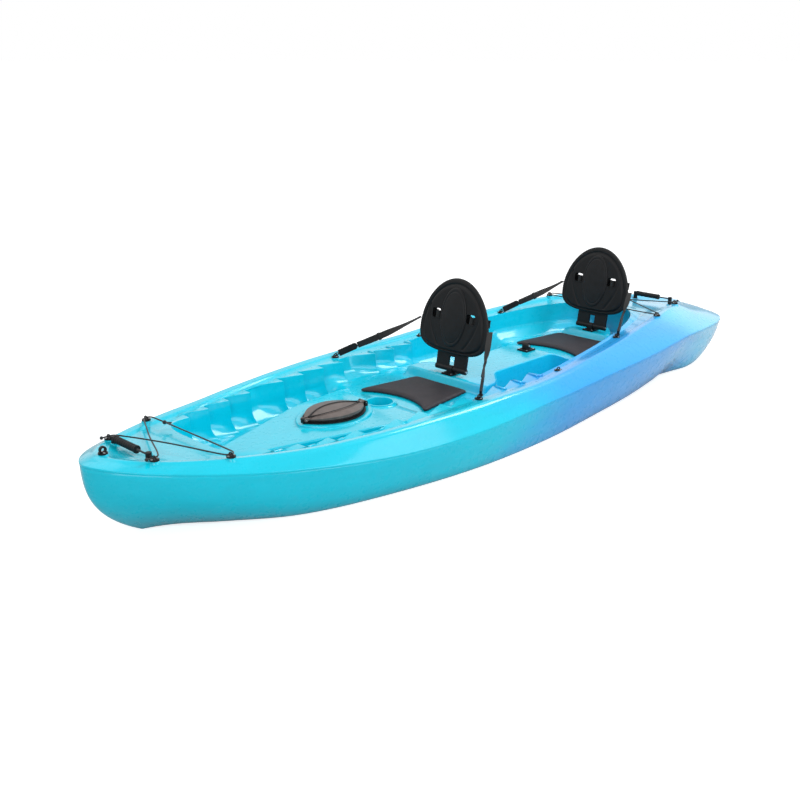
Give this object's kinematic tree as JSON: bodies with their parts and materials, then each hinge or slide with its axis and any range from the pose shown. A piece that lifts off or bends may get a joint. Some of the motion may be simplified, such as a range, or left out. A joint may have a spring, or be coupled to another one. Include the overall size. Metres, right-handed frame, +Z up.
{
  "type": "tandem kayak",
  "caption": "Tandem sit-on-top kayak with a moulded hull and deck, stepped footwells, folding strapped backrests, seat pads, a storage hatch, cup holder, laced decks and carry grips.",
  "frame": {"origin": "bottom centre of the bounding box, on the flat of the hull's bottom", "axes": "+X to the bow, +Y to port, +Z up"},
  "size_m": [3.2, 0.9138, 0.5395],
  "materials": {
    "hull_plastic": "moulded, glossy",
    "deck_plastic": "moulded, glossy",
    "black_plastic": "fine grain",
    "lid_plastic": "satin",
    "back_foam": "smooth",
    "seat_foam": "fine foam",
    "webbing": "woven",
    "cord": "braided",
    "gasket": "matte",
    "stainless": "satin"
  },
  "bodies": {
    "hull": {"hull_shell": "hull_plastic", "bow_deck": "deck_plastic", "gunwales": "deck_plastic", "cockpit_walls": "deck_plastic", "cockpit_floor": "deck_plastic", "console_deck": "deck_plastic", "stern_deck": "deck_plastic", "cup_well": "deck_plastic", "hatch_rim": "black_plastic", "hatch_gasket": "gasket", "hatch_hinge_pin": "stainless", "front_hinge_base": "black_plastic", "mid_hinge_base": "black_plastic", "rear_hinge_base": "black_plastic", "front_hinge_pin": "stainless", "mid_hinge_pin": "stainless", "rear_hinge_pin": "stainless", "hinge_base_screws": "stainless", "front_seat_pad": "seat_foam", "rear_seat_pad": "seat_foam", "strap_anchors": "black_plastic", "strap_anchor_screws": "stainless", "front_strap_hooks": "black_plastic", "rear_strap_hooks": "black_plastic", "front_strap_starboard": "webbing", "front_strap_port": "webbing", "rear_strap_starboard": "webbing", "rear_strap_port": "webbing", "bow_pad_eyes": "black_plastic", "stern_pad_eyes": "black_plastic", "pad_eye_screws": "stainless", "bow_deck_cord": "cord", "stern_deck_cord": "cord", "bow_cord_knots": "cord", "stern_cord_knots": "cord", "bow_rope_posts": "black_plastic", "stern_rope_posts": "black_plastic", "bow_carry_rope": "cord", "stern_carry_rope": "cord", "bow_tow_eye": "black_plastic", "tow_eye_screws": "stainless"},
    "front_backrest": {"front_back_legs": "black_plastic", "front_back_shell": "black_plastic", "front_back_panel": "back_foam", "front_back_bolts": "stainless"},
    "rear_backrest": {"rear_back_legs": "black_plastic", "rear_back_shell": "black_plastic", "rear_back_panel": "back_foam", "rear_back_bolts": "stainless"},
    "hatch_lid": {"hatch_lid": "lid_plastic", "latch_pin": "stainless"},
    "hatch_latch": {"hatch_latch": "black_plastic"},
    "bow_grip": {"bow_carry_grip": "black_plastic"},
    "stern_grip": {"stern_carry_grip": "black_plastic"}
  },
  "joints": [
    {"name": "front_back_fold", "type": "hinge", "parent": "hull", "child": "front_backrest", "pos_m": [0.08, 0, 0.2], "axis": [0, 1, 0], "range_deg": [0, 90], "deforming": ["front_strap_port", "front_strap_starboard"]},
    {"name": "rear_back_fold", "type": "hinge", "parent": "hull", "child": "rear_backrest", "pos_m": [-0.84, 0, 0.2], "axis": [0, 1, 0], "range_deg": [0, 90], "deforming": ["rear_strap_port", "rear_strap_starboard"]},
    {"name": "hatch_open", "type": "hinge", "parent": "hull", "child": "hatch_lid", "pos_m": [0.5385, 0, 0.1797], "axis": [0, 1, 0], "range_deg": [-105, 0]},
    {"name": "latch_lift", "type": "hinge", "parent": "hatch_lid", "child": "hatch_latch", "pos_m": [0.8055, 0, 0.1797], "axis": [0, 1, 0], "range_deg": [-80, 0]},
    {"name": "bow_grip_slide", "type": "slide", "parent": "hull", "child": "bow_grip", "axis": [0, 1, 0], "range_m": [0, 0.05]},
    {"name": "stern_grip_slide", "type": "slide", "parent": "hull", "child": "stern_grip", "axis": [0, 1, 0], "range_m": [0, 0.05]}
  ]
}
